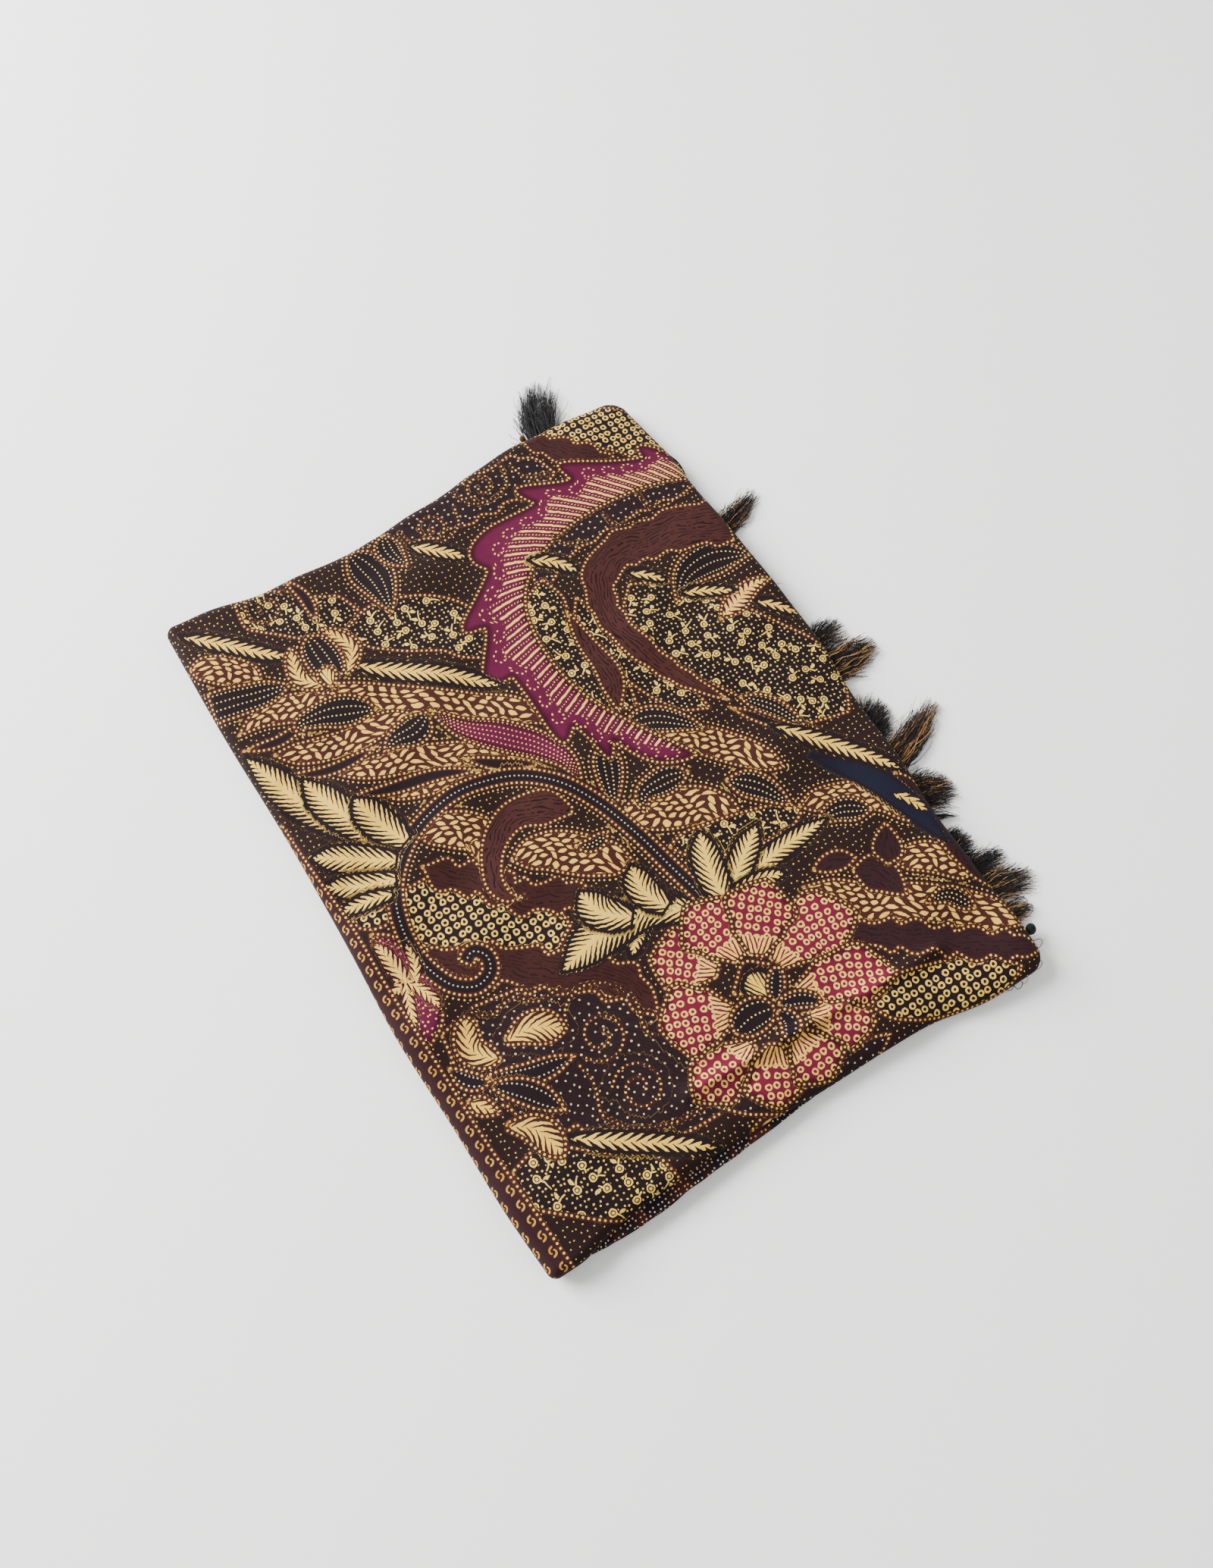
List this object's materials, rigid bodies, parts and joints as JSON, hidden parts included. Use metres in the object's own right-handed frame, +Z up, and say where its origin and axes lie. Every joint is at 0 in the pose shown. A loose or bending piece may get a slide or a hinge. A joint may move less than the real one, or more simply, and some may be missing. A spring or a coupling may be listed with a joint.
{
  "type": "folded batik sarong",
  "caption": "Printed cotton-like wrap cloth folded flat into a rectangle, rolled at its near edge, with knotted fringe sticking out of its open end.",
  "frame": {"origin": "on the surface that the folded cloth rests on, under the middle of its rectangle", "axes": "+Z up; +Y along the long side, from the rolled edge to the far edge; +X from the folded border side to the open, fringed end"},
  "size_m": [0.3224, 0.4235, 0.0138],
  "materials": {
    "batik_cloth": "soft woven rayon, batik print",
    "folded_cloth": "soft woven rayon, batik print, folded edges",
    "fringe_yarn": "loose spun yarn"
  },
  "bodies": {
    "root": {"FoldedLayers": "folded_cloth", "FringeKnot": "fringe_yarn", "Tassel_01": "fringe_yarn", "Tassel_02": "fringe_yarn", "Tassel_03": "fringe_yarn", "Tassel_04": "fringe_yarn", "Tassel_05": "fringe_yarn", "Tassel_06": "fringe_yarn", "Tassel_07": "fringe_yarn", "Tassel_08": "fringe_yarn", "Tassel_09": "fringe_yarn", "Tassel_10": "fringe_yarn", "Tassel_11": "fringe_yarn", "Tassel_12": "fringe_yarn", "TopPanel": "batik_cloth"}
  },
  "joints": []
}
